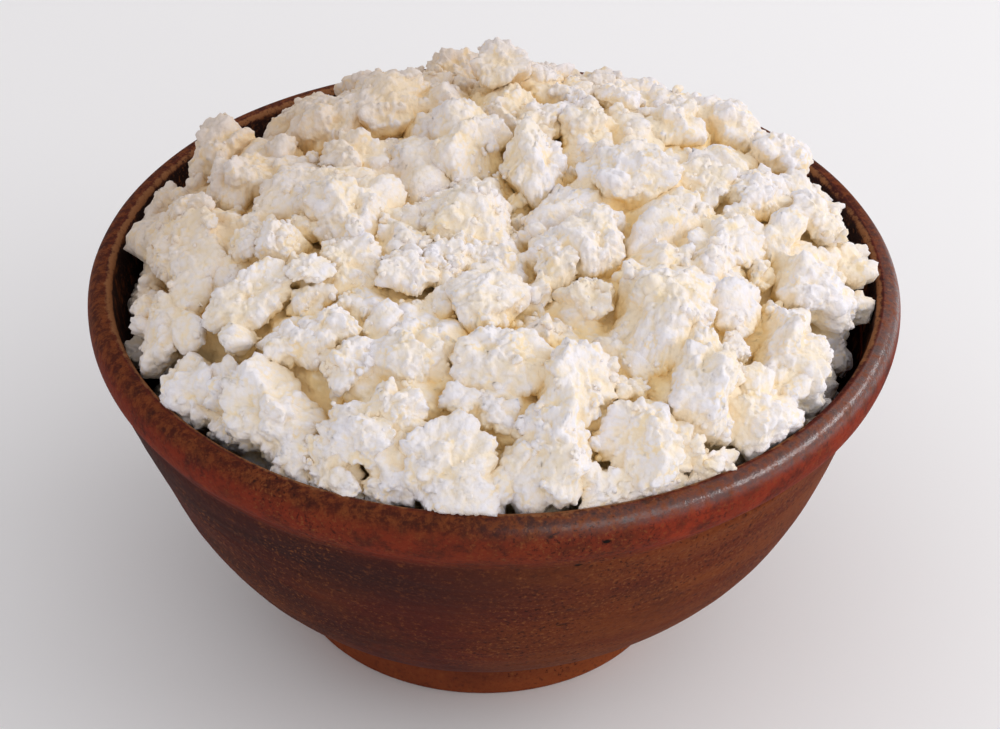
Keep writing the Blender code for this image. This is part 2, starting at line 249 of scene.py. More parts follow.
def make_bowl(material):
    """The bowl: radius and height along the outline, turned through every angle.

    The radius gains the throwing ridges, which are waves along the outline that climb as they go round,
    and slow noise.  The collar tightens and loosens round the rim, and its groove is open on the right.
    """
    outline = np.concatenate([outside_outline(2), inside_outline(2)[:-1]])
    outer_count = len(outside_outline(2))
    spokes = 420
    angle = np.linspace(0, 2 * math.pi, spokes, endpoint=False)
    run = np.concatenate([[0.0], np.cumsum(np.hypot(*np.diff(outline, axis=0).T))])
    tangent = np.gradient(outline, axis=0)
    tangent /= np.hypot(tangent[:, :1], tangent[:, 1:])
    normal = np.stack([tangent[:, 1], -tangent[:, 0]], axis=-1)

    radius = outline[:, :1] + 0 * angle
    height = outline[:, 1:] + 0 * angle
    outside = (np.arange(len(outline)) < outer_count)[:, None]
    low = RIM_TOP - COLLAR_HEIGHT
    above_foot = smoothstep(FOOT_HEIGHT + 4 * MM, FOOT_HEIGHT + 14 * MM, height)
    on_body = outside * above_foot * (1 - smoothstep(low - 6 * MM, low, height))
    on_collar = outside * smoothstep(low, low + 3 * MM, height)
    in_groove = outside * np.exp(-(((height - low) / (1.6 * MM)) ** 2))

    cosine, sine = np.cos(angle) + 0 * height, np.sin(angle) + 0 * height
    around = np.stack([cosine, sine, height / RIM_RADIUS * 2.2], axis=-1)
    slow = drift(around.reshape(-1, 3), 0.55, 3).reshape(radius.shape)
    patchy = drift(around.reshape(-1, 3), 0.17, 5).reshape(radius.shape)
    climb = run[:, None] / (5.2 * MM) + angle / (2 * math.pi) + 0.7 * slow
    ridges = np.sin(2 * math.pi * climb) + 0.5 * np.sin(2 * math.pi * 2.3 * climb + 1.7)
    push = on_body * (0.07 * MM * ridges * (0.5 + 0.8 * patchy) + 0.45 * MM * slow + 0.12 * MM * patchy)
    push += on_collar * (0.28 * MM * slow + 0.10 * MM * patchy - 0.25 * MM)
    # the groove is open on the right; elsewhere the wall runs straight down from the rim, with a faint line
    open_share = smoothstep(0.45, 0.98, np.cos(angle - math.radians(-8)))
    fill_low, fill_high = 56 * MM, RIM_TOP - 8 * MM
    body = outline[:outer_count]
    fill_ends = [np.interp(fill_low, body[:, 1], body[:, 0]), RIM_RADIUS - 0.6 * MM]
    chord = np.interp(height, [fill_low, fill_high], fill_ends)
    between = (height > fill_low) & (height < fill_high)
    radius = radius + outside * between * np.maximum(chord - radius, 0) * 0.92 * (1 - open_share)
    push -= in_groove * (1.1 * MM * open_share + 0.2 * MM)

    radius = radius + push * normal[:, :1]
    height = height + push * normal[:, 1:]
    keep = smoothstep(0.0, 2 * MM, outline[:, 1:])
    lean = 1 + 0.004 * keep * np.cos(2 * (angle - 0.6))
    aside = -2.4 * MM * (1 - smoothstep(5 * MM, 50 * MM, outline[:, 1:]))
    points = np.stack([radius * lean * np.cos(angle) + aside, radius * lean * np.sin(angle), height], axis=-1)
    under_foot = np.array([[0.0, 0.0, 0.0]])
    on_floor = np.array([[0.0, 0.0, FLOOR_THICKNESS]])
    points = np.concatenate([under_foot, points.reshape(-1, 3), on_floor])
    faces = ring_faces(len(outline), spokes)[:, ::-1]

    across = radius * np.cos(angle)
    at_foot = outside * (1 - smoothstep(FOOT_HEIGHT - 1 * MM, FOOT_HEIGHT + 1 * MM, height))
    over_foot = outside * np.exp(-(((height - FOOT_HEIGHT - 4 * MM) / (4 * MM)) ** 2))
    under_rim = outside * np.exp(-(((height - 80 * MM) / (15 * MM)) ** 2))
    on_lip = outside * smoothstep(RIM_TOP - 5.5 * MM, RIM_TOP - 1 * MM, height)
    shoulder = outside * np.exp(-(((height - RIM_TOP + 1.8 * MM) / (1.8 * MM)) ** 2))
    edge = np.hypot(outline[:, 0] - RIM_RADIUS + 6.2 * MM, outline[:, 1] - RIM_TOP + 0.6 * MM)[:, None]
    red = outside * smoothstep(low - 2 * MM, low + 6 * MM, height)
    marks = {
        "wear": np.exp(-((edge / (1.5 * MM)) ** 2)) * (0.85 + 0.5 * patchy + 0.2 * slow),
        "inside": ~outside * smoothstep(0, 1, (RIM_TOP - height) / (2 * MM)),
        # the collar's own red glaze, with its share painted lower towards the back left as painted shade
        "collar": red * (0.7 + 0.3 * np.cos(angle + 1.2)),
        # painted light: the glaze outside, below the collar, lighter and more orange towards the right where
        # the light falls; this mark also lightens the foot there
        "painted_light_right": outside * smoothstep(0, 95 * MM, radius * np.cos(angle + 0.3)) * (1 - on_collar),
        "shade": under_rim * smoothstep(40 * MM, -30 * MM, across),
        "lip": on_lip,
        "shine": shoulder * smoothstep(0.5, 0.95, np.cos(angle + math.radians(36))),
        "foot": at_foot,
        "olive": over_foot * (0.5 + 0.3 * slow) * (1 - at_foot),
    }
    # the two closing points, under the foot and on the floor, take the marks of the rings beside them
    marks = {name: np.concatenate([mark[0, :1], mark.ravel(), mark[-1, :1]]) for name, mark in marks.items()}
    return add_piece("thrown_bowl", points, faces, material, marks)


# ---------------------------------------------------------------- the heap
def mound_reach(rays):
    """Distance from the heap's centre to the smooth mound: (r/width)**power + (z/rise)**power = 1.

    Each hollow takes its depth, times a bell curve of the heading, off the width.
    """
    heading = np.degrees(np.arctan2(rays[..., 1], rays[..., 0]))
    width = np.full(heading.shape, MOUND_RADIUS)
    for direction, spread, depth in HOLLOWS:
        turn = (heading - direction + 180) % 360 - 180
        width = width - depth * np.exp(-((turn / spread) ** 2))
    sideways = np.hypot(rays[..., 0], rays[..., 1]) / width
    upwards = np.maximum(rays[..., 2], 0.0) / (MOUND_RISE - BACK_DROP * np.maximum(rays[..., 1], 0.0))
    return np.maximum(sideways**MOUND_POWER + upwards**MOUND_POWER, 1e-6) ** (-1 / MOUND_POWER)


def sky_rays(tilt, azimuth):
    """Unit vectors from a tilt off +Z and an azimuth from +X, both in radians."""
    return np.stack([np.sin(tilt) * np.cos(azimuth), np.sin(tilt) * np.sin(azimuth), np.cos(tilt)], axis=-1)


def mound_places(direction, distance):
    """Points on the mound, from the heap's centre, over directions from -Y and distances from the axis."""
    azimuth = np.radians(np.asarray(direction, float) - 90)
    low = np.zeros(azimuth.shape)
    high = np.full(azimuth.shape, math.pi / 2)
    for _ in range(30):
        tilt = (low + high) / 2
        short = mound_reach(sky_rays(tilt, azimuth)) * np.sin(tilt) < distance
        low = np.where(short, tilt, low)
        high = np.where(short, high, tilt)
    rays = sky_rays(tilt, azimuth)
    return rays * mound_reach(rays)[..., None]


def mound_normals(places):
    """Outward unit vectors of the mound: its steepest rise, from the superellipsoid's own powers."""
    flat = np.hypot(places[:, 0], places[:, 1])[:, None]
    sideways = (flat / MOUND_RADIUS) ** (MOUND_POWER - 1) / MOUND_RADIUS
    upwards = (np.maximum(places[:, 2:], 0) / MOUND_RISE) ** (MOUND_POWER - 1) / MOUND_RISE
    normals = np.concatenate([places[:, :2] / np.maximum(flat, 1e-9) * sideways, upwards], axis=1)
    return normals / np.linalg.norm(normals, axis=1, keepdims=True)


def square_to_cap(side):
    """Tilt and turn of a square grid of points bent round a ball.

    Nested squares become nested circles (Shirley and Chiu's map), and a circle at radius r goes to the
    tilt 2 asin(0.75 r) + 1.15 r**12, which spends most of the grid on the upper side and closes underneath.
    A coarse grid has its circles evenly spaced instead, so that it stays round.
    """
    line = np.linspace(-1, 1, side)
    s, t = np.meshgrid(line, line, indexing="ij")
    wide = np.abs(s) > np.abs(t)
    radius = np.where(wide, s, t)
    safe = np.where(np.abs(radius) < 1e-9, 1e-9, radius)
    turn = np.where(wide, math.pi / 4 * (t / safe), math.pi / 2 - math.pi / 4 * (s / safe))
    turn = np.where(radius < 0, turn + math.pi, turn)
    r = np.abs(radius)
    tilt = 2.84 * r if side < 10 else 2 * np.arcsin(0.75 * r) + 1.15 * r**12
    return tilt.ravel(), turn.ravel()


def square_faces(side):
    """Quads of the square grid, and a fan from its rim to one closing point, numbered last."""
    i, k = np.meshgrid(np.arange(side - 1), np.arange(side - 1), indexing="ij")
    corner = (i * side + k).ravel()
    quads = np.stack([corner, corner + side, corner + side + 1, corner + 1], axis=-1)
    n = np.arange(side - 1)
    rim = np.concatenate([n, n * side + side - 1, side * side - 1 - n, (side - 1 - n) * side])
    pole = np.full(len(rim), side * side)
    fan = np.stack([rim, np.roll(rim, -1), pole, np.full(len(rim), -1)], axis=-1)
    return np.concatenate([quads, fan])


def ease_grid(values, side):
    """Values on square grids, each made the mean of itself and its four neighbours on the grid."""
    grid = np.pad(values.reshape(-1, side, side), ((0, 0), (1, 1), (1, 1)), mode="edge")
    around = grid[:, :-2, 1:-1] + grid[:, 2:, 1:-1] + grid[:, 1:-1, :-2] + grid[:, 1:-1, 2:]
    return ((around + grid[:, 1:-1, 1:-1]) / 5).reshape(values.shape)


def keep_inside(points):
    """Points moved in to stay clear of the bowl's wall, and above the lip no farther out than its top."""
    flat = np.hypot(points[..., 0], points[..., 1])
    limit = np.minimum(wall_radius(points[..., 2]) - 0.3 * MM, RIM_RADIUS - 5 * MM)
    shrink = np.minimum(1.0, limit / np.maximum(flat, 1e-9))
    return np.concatenate([points[..., :2] * shrink[..., None], points[..., 2:]], axis=-1)


def roughen(points, headings, relief, share):
    """Points moved along their headings by the grains of each size, warped so that no two grains are alike.

    The second result says how deep each point lies between the grains, 0 on their tops to 1.
    """
    warp = np.stack([drift(points, 3.1 * MM, 21 + axis) for axis in range(3)], axis=-1) * 1.1 * MM
    height = np.zeros(len(points))
    for size, amount, salt in relief:
        height += amount * (grains(points + warp, size, salt) - 0.38)
    total = sum(amount for _, amount, _ in relief) or 1.0
    return points + headings * (height * share)[:, None], np.clip(0.5 - height / total, 0, 1)


def shape_curds(curds, side, balls, knobs, cuts, coarse, fine, seed):
    """Curds of one kind: points, one closed grid after another, their faces and the depth of their pits.

    Each is what its middle sees of a cluster of balls: along a unit vector u the surface is at the largest
    of u.c + sqrt(radius**2 - |c|**2 + (u.c)**2), capped at h / (u.n) by each broken face.  The cluster is
    then stretched to the curd's size, and coarse and then fine grains stand out from its middle.
    """
    draw = np.random.default_rng(seed)
    count = len(curds["middle"])
    tilt, turn = square_to_cap(side)
    rays = sky_rays(tilt, turn)

    away = draw.normal(size=(count, balls, 3))
    away /= np.linalg.norm(away, axis=-1, keepdims=True)
    away[..., 2] = np.abs(away[..., 2]) - 0.25
    radii = draw.uniform(knobs[0], knobs[1], (count, balls))
    middles = away * (1.0 - radii * draw.uniform(0.6, 1.15, radii.shape))[..., None]
    middles[:, 0] = 0.0
    radii[:, 0] = 0.62

    along = np.einsum("rk,nbk->nrb", rays, middles)
    inside = radii[:, None] ** 2 - (middles**2).sum(axis=-1)[:, None] + along**2
    reach = np.where(inside > 0, along + np.sqrt(np.maximum(inside, 0)), 0).max(axis=-1)
    own = (rays[None] + 7.0 * np.arange(count)[:, None, None]).reshape(-1, 3)
    reach *= 1 + 0.18 * drift(own, 0.6, seed).reshape(reach.shape)
    for _ in range(2):
        reach = ease_grid(reach, side)

    broken = np.zeros(reach.shape)
    for _ in range(cuts):
        facing = draw.normal(size=(count, 3)) + np.array([0, 0, 0.3])
        facing /= np.linalg.norm(facing, axis=-1, keepdims=True)
        depth = draw.uniform(0.5, 0.92, (count, 1))
        towards = facing @ rays.T
        cap = np.where(towards > 0.05, depth / np.maximum(towards, 0.05), 9.0)
        broken = np.maximum(broken, smoothstep(0.0, 0.12, reach - cap))
        reach = np.minimum(reach, cap)

    outward = curds["outward"]
    lengthwise = curds["lengthwise"] - outward * (curds["lengthwise"] * outward).sum(axis=-1, keepdims=True)
    lengthwise /= np.linalg.norm(lengthwise, axis=-1, keepdims=True)
    sideways = np.cross(outward, lengthwise)
    local = rays[None] * reach[..., None] * curds["half"][:, None]
    points = (
        curds["middle"][:, None]
        + local[..., :1] * lengthwise[:, None]
        + local[..., 1:2] * sideways[:, None]
        + local[..., 2:] * outward[:, None]
    )
    flat = points.reshape(-1, 3)
    headings = (points - curds["middle"][:, None]).reshape(-1, 3)
    headings /= np.linalg.norm(headings, axis=-1, keepdims=True)
    share = 1 - curds["smoothness"] * broken.ravel()
    flat, pit = roughen(flat, headings, coarse, share)
    flat, fine_pit = roughen(flat, headings, fine, share)

    grid = flat.reshape(count, side * side, 3)
    pole = curds["middle"] - outward * (0.55 * curds["half"][:, 2:])
    points = keep_inside(np.concatenate([grid, pole[:, None]], axis=1) + HEAP_CENTRE)
    step = side * side + 1
    shift = np.arange(count)[:, None, None] * step
    faces = square_faces(side)
    faces = np.where(faces[None] >= 0, faces[None] + shift, -1).reshape(-1, 4)
    pit = np.concatenate([(0.5 * pit + 0.5 * fine_pit).reshape(count, -1), np.ones((count, 1))], axis=1)
    return {"points": points.reshape(-1, 3), "faces": faces, "pit": pit.ravel()}


def map_place(points):
    """Where points lie on a flat map of the heap, by tilt off +Z, and their distance from its centre."""
    seen = points - HEAP_CENTRE
    distance = np.linalg.norm(seen, axis=-1)
    tilt = np.arccos(np.clip(seen[:, 2] / np.maximum(distance, 1e-9), -1, 1))
    flat = np.maximum(np.hypot(seen[:, 0], seen[:, 1]), 1e-9)
    cells = seen[:, :2] / flat[:, None] * tilt[:, None] / MAP_CELL + MAP_SIDE / 2
    return np.clip(cells.astype(int), 0, MAP_SIDE - 1), distance


def blur(picture, spread):
    """A map blurred by a Gaussian of that many cells, through its Fourier transform."""
    frequency = np.fft.fftfreq(MAP_SIDE)
    weight = np.exp(-2 * (math.pi * spread * np.hypot(frequency[:, None], frequency)) ** 2)
    return np.fft.ifft2(np.fft.fft2(picture) * weight).real


def survey(shapes):
    """Maps of the heap: its farthest point in each cell, and that surface blurred finely and widely."""
    top = np.zeros((MAP_SIDE, MAP_SIDE))
    for shape in shapes:
        cells, distance = map_place(shape["points"])
        np.maximum.at(top, (cells[:, 0], cells[:, 1]), distance)
    top = np.where(top > 0, top, np.median(top[top > 0]))
    return top, blur(top, 2.6), blur(top, 7.0)


def crevices(points, maps):
    """How far points lie under the surface round them, 0 on open faces to 1, narrowly and widely."""
    cells, distance = map_place(points)
    near = maps[1][cells[:, 0], cells[:, 1]] - distance
    wide = maps[2][cells[:, 0], cells[:, 1]] - distance
    return smoothstep(0.0, 3.0 * MM, near), smoothstep(-0.5 * MM, 8 * MM, wide)


def shape_core():
    """The core: rays from the heap's centre to a little under the mound, and farther under it near the wall.

    Round lumps with valleys between them, of the curds' own size, and the curds' grains stand out from it.
    """
    rings, spokes = CORE_RINGS, CORE_SPOKES
    low_rings = 20
    tilt = np.concatenate([np.linspace(0.004, 1.45, rings - low_rings), np.linspace(1.47, 3.1, low_rings)])
    turn = np.linspace(0, 2 * math.pi, spokes, endpoint=False)
    grid_tilt, grid_turn = np.meshgrid(tilt, turn, indexing="ij")
    rays = sky_rays(grid_tilt, grid_turn).reshape(-1, 3)
    below = 2.6 * MM + 5.4 * MM * smoothstep(0.75, 0.97, np.hypot(rays[:, 0], rays[:, 1]))
    places = rays * (mound_reach(rays) - below)[:, None]
    warped = places + 3.5 * MM * np.stack([drift(places, 9 * MM, 65 + axis) for axis in range(3)], axis=-1)
    lumps = 11 * MM * (grains(warped, 15 * MM, 61) - 0.45)
    places, pit = roughen(places + rays * lumps[:, None], rays, COARSE_GRAINS, 1.0)
    places, fine_pit = roughen(places, rays, FINE_GRAINS, 1.0)
    points = HEAP_CENTRE + places
    points[:, 2] = np.maximum(points[:, 2], FLOOR_THICKNESS + 1 * MM)
    points = keep_inside(points)
    first = points[:spokes].mean(axis=0, keepdims=True)
    last = np.array([[0.0, 0.0, FLOOR_THICKNESS + 1 * MM]])
    pit = np.concatenate([[0.5], 0.5 * pit + 0.5 * fine_pit, [0.5]])
    return {"points": np.concatenate([first, points, last]), "faces": ring_faces(rings, spokes), "pit": pit}


def spread_underside(core):
    """The core with the rings of its flat underside, which fall in one place, spread evenly to its middle."""
    grid = core["points"][1:-1].reshape(CORE_RINGS, CORE_SPOKES, 3).copy()
    on_underside = grid[..., 2] <= core["points"][-1, 2]
    rings_left = on_underside[::-1].cumsum(axis=0)[::-1]
    grid[..., :2] *= np.where(on_underside, rings_left / rings_left[0], 1.0)[..., None]
    points = np.concatenate([core["points"][:1], grid.reshape(-1, 3), core["points"][-1:]])
    return {**core, "points": points}


def add_curds(name, shape, maps, material):
    """A piece of the heap, with the depth of its pits and crevices as attributes."""
    narrow, wide = crevices(shape["points"], maps)
    # painted shade: the heap darker and creamier towards the back left, away from the light
    painted_shade_back_left = smoothstep(0, 120 * MM, shape["points"][:, 1] - shape["points"][:, 0])
    marks = {"pit": shape["pit"], "narrow": narrow, "wide": wide, "painted_shade_back_left": painted_shade_back_left}
    return add_piece(name, shape["points"], shape["faces"], material, marks)


# grain sizes, how far they stand out, and their noise
COARSE_GRAINS = ((8.0 * MM, 1.7 * MM, 31), (4.0 * MM, 1.65 * MM, 32))
FINE_GRAINS = ((2.1 * MM, 1.3 * MM, 33), (1.2 * MM, 0.75 * MM, 34))
SMALL_GRAINS = ((3.2 * MM, 0.9 * MM, 35),)

# rings of points from the top of the core to its underside, and points round each
CORE_RINGS = 200
CORE_SPOKES = 380

# a flat map of the heap, seen from its centre: cells across and the angle of each
MAP_SIDE = 320
MAP_CELL = 0.0105

# ---------------------------------------------------------------- where the curds lie
# direction in degrees from the front (-Y) towards +X, distance from the axis, length, width,
# heading of the length in degrees from +X, lift off the mound; all lengths in millimetres
HEAPED_CURDS = (
    (-104, 72, 23, 21, 0, 0),
    (-80, 85, 27, 24, 100, 1),
    (-166, 29, 21, 27, 0, 1),
    (-33, 12, 30, 25, 10, 1),
    (-78, 39, 24, 23, 0, 1),
    (107, 38, 28, 25, 0, 1),
    (77, 87, 27, 21, 0, 1),
    (45, 65, 26, 30, 0, 2),
    (59, 90, 22, 25, 0, 0),
    (39, 86, 20, 27, 0, 1),
    (44, 96, 22, 21, 0, 1),
    (16, 77, 23, 22, 0, 1),
    (1, 68, 24, 18, 0, 1),
    (24, 93, 21, 22, 0, 1),
    (9, 92, 21, 28, 0, 1),
    (-7, 96, 31, 26, 0, 1),
    (-36, 95, 28, 26, 150, 0),
    (-57, 75, 24, 18, 20, 0),
    (131, 84, 23, 21, 0, 4),
    (170, 84, 23, 20, 0, -5),
    (-172, 88, 22, 20, 10, -3),
    (150, 88, 23, 20, 30, -4),
    (-156, 84, 24, 21, 160, -3),
    (176, 44, 22, 24, 0, -1),
)
ROUND_CURDS = (
    (180, 58, 15, 17, 0, 10),
    (168, 66, 14, 12, 0, 4),
    (-166, 74, 13, 12, 0, -1),
    (-91, 82, 16, 14, 60, 2),
    (-3, 47, 20, 18, 0, 0),
    (52, 34, 18, 23, 0, 1),
    (31, 30, 14, 19, 0, 0),
    (101, 57, 16, 20, 0, 1),
    (134, 68, 17, 17, 0, 1),
    (121, 91, 19, 17, 0, 1),
    (97, 72, 17, 16, 0, 1),
    (95, 88, 16, 13, 0, 1),
    (164, 63, 18, 15, 0, 0),
    (-17, 71, 20, 21, 0, 0),
    (-20, 91, 23, 17, 160, 0),
    (-24, 99, 21, 16, 160, 0),
    (-67, 91, 20, 15, 100, 0),
    (-64, 97, 15, 12, 110, 1),
    (-53, 98, 17, 18, 120, 0),
    (-42, 78, 14, 16, 30, 0),
    (-38, 70, 11, 13, 60, 1),
    (-29, 77, 15, 13, 0, 0),
    (-120, 45, 20, 17, 100, 0),
    (30, 50, 17, 15, 40, 0),
    (-24, 33, 15, 14, 40, 0),
    (-116, 84, 22, 20, 0, 3),
    (147, 46, 18, 16, 0, 0),
    (163, 44, 16, 15, 0, 1),
    (-15, 98, 16, 14, 0, -1),
    (-44, 99, 16, 14, 130, -2),
    (-76, 98, 15, 14, 100, -3),
    (66, 98, 15, 14, 60, -3),
    (82, 98, 15, 14, 80, -3),
    (140, 86, 16, 15, 0, 0),
    (116, 85, 18, 17, 0, 4),
)
BROKEN_CURDS = (
    (-133, 65, 26, 22, 22, 0),
    (-147, 56, 28, 22, 30, 0),
    (-163, 51, 23, 19, 0, 0),
    (-94, 52, 36, 19, 14, 0),
    (148, 22, 19, 34, 0, 1),
    (155, 55, 10, 16, 0, 2),
    (150, 66, 12, 11, 0, 1),
    (-68, 61, 12, 18, 0, 2),
    (-72, 69, 12, 12, 0, 1),
    (-32, 42, 15, 14, 0, 2),
    (-17, 85, 17, 13, 0, 1),
    (75, 62, 22, 18, 60, 0),
    (-52, 50, 20, 16, 130, 0),
    (-160, 66, 22, 17, 0, -1),
    (156, 76, 20, 16, 160, -2),
    (-136, 80, 24, 20, 150, 3),
)
FLAKES = (
    (19, 99, 31, 11, 18, 2),
    (33, 99, 15, 10, 40, 2),
    (-51, 61, 14, 10, 0, 4),
)


def laid_curds(rows, flatness=0.85, sink=0.3, growth=1.28, smoothness=0.25):
    """Middles, outward and lengthwise unit vectors, and half-sizes of curds laid on the mound as listed."""
    rows = np.array(rows, float)
    places = mound_places(rows[:, 0], rows[:, 1] * MM)
    outward = mound_normals(places)
    heading = np.radians(rows[:, 4])
    lengthwise = np.stack([np.cos(heading), np.sin(heading), 0 * heading], axis=-1)
    half = np.stack([rows[:, 2], rows[:, 3], rows[:, 3] * flatness], axis=-1) * growth * MM / 2
    middle = places + outward * (rows[:, 5] * MM - sink * half[:, 2])[:, None]
    return {
        "middle": middle,
        "outward": outward,
        "lengthwise": lengthwise,
        "half": half,
        "smoothness": smoothness,
    }


def filler_curds(laid, count, draw):
    """Curds for the gaps: one by one, the spot of a sunflower spiral that is farthest from every curd."""
    n = np.arange(1400)
    azimuth = n * math.pi * (3 - math.sqrt(5))
    spots = mound_places(np.degrees(azimuth), (MOUND_RADIUS - 2 * MM) * np.sqrt((n + 0.5) / len(n)))
    middles = np.concatenate([kind["middle"] for kind in laid])
    radii = np.concatenate([0.78 * kind["half"][:, :2].mean(axis=1) for kind in laid])
    room = (np.linalg.norm(spots[:, None] - middles, axis=-1) - radii).min(axis=1)
    chosen, sizes = [], []
    for _ in range(count):
        best = int(np.argmax(room))
        size = min(max(room[best] * 1.6, 6 * MM), 13 * MM)
        chosen.append(best)
        sizes.append(size)
        room = np.minimum(room, np.linalg.norm(spots - spots[best], axis=-1) - 0.72 * size)
    places = spots[chosen]
    half = np.array(sizes)[:, None] * draw.uniform(0.85, 1.25, (count, 3))
    outward = mound_normals(places) + draw.normal(scale=0.25, size=(count, 3))
    outward /= np.linalg.norm(outward, axis=-1, keepdims=True)
    middle = places - outward * (1.5 * MM + half[:, 2] * draw.uniform(0.3, 0.75, count))[:, None]
    lengthwise = draw.normal(size=(count, 3))
    return {"middle": middle, "outward": outward, "lengthwise": lengthwise, "half": half, "smoothness": 0.3}


def lip_curds(draw):
    """Curds leaning on the wall just under the lip, all the way round but for the hollows."""
    direction = np.arange(0, 360, 5.625) + draw.uniform(-2.0, 2.0, 64)
    heading = (direction - 90 + 180) % 360 - 180
    clear = np.ones(len(direction), bool)
    for hollow, spread, _ in HOLLOWS:
        clear &= np.abs((heading - hollow + 180) % 360 - 180) > 0.8 * spread
    direction = direction[clear]
    count = len(direction)
    places = mound_places(direction, draw.uniform(94, 99, count) * MM)
    half = draw.uniform(6.0, 10.0, count)[:, None] * draw.uniform(0.85, 1.2, (count, 3)) * MM
    outward = mound_normals(places) + np.array([0, 0, 0.5]) + draw.normal(scale=0.2, size=(count, 3))
    outward /= np.linalg.norm(outward, axis=-1, keepdims=True)
    middle = places - outward * (0.3 * half[:, 2:])
    # they lie a little lower at the back right
    middle[:, 2] -= 1.5 * MM * (middle[:, 1] > 20 * MM) * (middle[:, 0] > 20 * MM)
    lengthwise = draw.normal(size=(count, 3))
    return {"middle": middle, "outward": outward, "lengthwise": lengthwise, "half": half, "smoothness": 0.3}


def scattered_curds(shapes, maps, count, sizes, liking, lifts, draw):
    """Small curds and crumbs sunk part way into the outer surface of the others.

    Each sits at a point of theirs that nothing covers, picked at random with a liking for crevices, and
    its size is drawn from a power law, so that most are near the smaller size.
    """
    points = np.concatenate([shape["points"] for shape in shapes])
    points = points[draw.permutation(len(points))[: 60 * count]]
    cells, distance = map_place(points)
    wide = maps[2][cells[:, 0], cells[:, 1]] - distance
    open_air = (maps[0][cells[:, 0], cells[:, 1]] - distance < 0.6 * MM) & (points[:, 2] > RIM_TOP - 8 * MM)
    points = points[open_air]
    swarm = 4 * MM * drift(points, 11 * MM, 71)
    score = wide[open_air] * liking + swarm + draw.exponential(3 * MM, len(points))
    places = points[np.argsort(-score)[:count]] - HEAP_CENTRE
    size = sizes[0] + (sizes[1] - sizes[0]) * draw.uniform(0, 1, count) ** 2.2
    half = size[:, None] * draw.uniform(0.7, 1.25, (count, 3))
    outward = places / np.linalg.norm(places, axis=1, keepdims=True) + draw.normal(scale=0.4, size=(count, 3))
    outward /= np.linalg.norm(outward, axis=1, keepdims=True)
    middle = places + outward * (half[:, 2] * draw.uniform(*lifts, count))[:, None]
    lengthwise = draw.normal(size=(count, 3))
    return {"middle": middle, "outward": outward, "lengthwise": lengthwise, "half": half, "smoothness": 0.3}


# ---------------------------------------------------------------- materials
class Recipe:
    """A material's node tree, with short calls for the nodes that it is made of."""

    def __init__(self, name):
        self.material = bpy.data.materials.new(name)
        self.material.use_nodes = True
        self.tree = self.material.node_tree
        self.shader = self.tree.nodes["Principled BSDF"]
        self.place = self.node("ShaderNodeTexCoord").outputs["Object"]

    def node(self, kind, **settings):
        """A new node of a kind, with its settings."""
        made = self.tree.nodes.new(kind)
        for key, value in settings.items():
            setattr(made, key, value)
        return made

    def feed(self, socket, value):
        """Links an output to a socket, or sets the socket to a plain value."""
        if isinstance(value, bpy.types.NodeSocket):
            self.tree.links.new(value, socket)
        elif isinstance(value, (tuple, list)) and len(value) == 3 and socket.type == "RGBA":
            socket.default_value = (*value, 1.0)
        else:
            socket.default_value = value

    def mark(self, name):
        """The value of one of the mesh's own attributes."""
        return self.node("ShaderNodeAttribute", attribute_name=name).outputs["Fac"]

    def stretched(self, scale):
        """The place in the object, scaled differently along its axes."""
        mapping = self.node("ShaderNodeMapping")
        self.feed(mapping.inputs["Vector"], self.place)
        mapping.inputs["Scale"].default_value = scale
        return mapping.outputs["Vector"]

    def noise(self, scale, detail=4.0, roughness=0.55, place=None, distortion=0.0):
        """Cloudy noise, about 0 to 1."""
        made = self.node("ShaderNodeTexNoise")
        self.feed(made.inputs["Vector"], place or self.place)
        made.inputs["Scale"].default_value = scale
        made.inputs["Detail"].default_value = detail
        made.inputs["Roughness"].default_value = roughness
        made.inputs["Distortion"].default_value = distortion
        return made.outputs["Fac"]

    def cells(self, scale, place=None):
        """Distance to the nearest of points scattered at random, 0 on each."""
        made = self.node("ShaderNodeTexVoronoi")
        self.feed(made.inputs["Vector"], place or self.place)
        made.inputs["Scale"].default_value = scale
        return made.outputs["Distance"]

    def ramp(self, value, low, high, start=0.0, end=1.0):
        """value from low..high to start..end, eased and held at both ends."""
        made = self.node("ShaderNodeMapRange", interpolation_type="SMOOTHSTEP")
        self.feed(made.inputs["Value"], value)
        for socket, number in zip(("From Min", "From Max", "To Min", "To Max"), (low, high, start, end)):
            made.inputs[socket].default_value = number
        return made.outputs["Result"]

    def maths(self, operation, first, second=0.0):
        """One operation on two values or outputs."""
        made = self.node("ShaderNodeMath", operation=operation)
        self.feed(made.inputs[0], first)
        self.feed(made.inputs[1], second)
        return made.outputs["Value"]

    def mix(self, share, first, second, blend="MIX"):
        """The first colour, with a share of the second laid over it or blended as named."""
        made = self.node("ShaderNodeMix", data_type="RGBA", blend_type=blend)
        self.feed(made.inputs["Factor"], share)
        colours = [socket for socket in made.inputs if socket.type == "RGBA"]
        self.feed(colours[0], first)
        self.feed(colours[1], second)
        return [socket for socket in made.outputs if socket.type == "RGBA"][0]

    def bump(self, height, strength, distance, below=None):
        """A normal tilted by the slope of a height, on top of the normal below."""
        made = self.node("ShaderNodeBump")
        self.feed(made.inputs["Height"], height)
        made.inputs["Strength"].default_value = strength
        made.inputs["Distance"].default_value = distance
        if below is not None:
            self.feed(made.inputs["Normal"], below)
        return made.outputs["Normal"]

    def finish(self, **values):
        """Feeds the shader's sockets, named with underscores for spaces, and gives the material."""
        for name, value in values.items():
            self.feed(self.shader.inputs[name.replace("_", " ")], value)
        return self.material


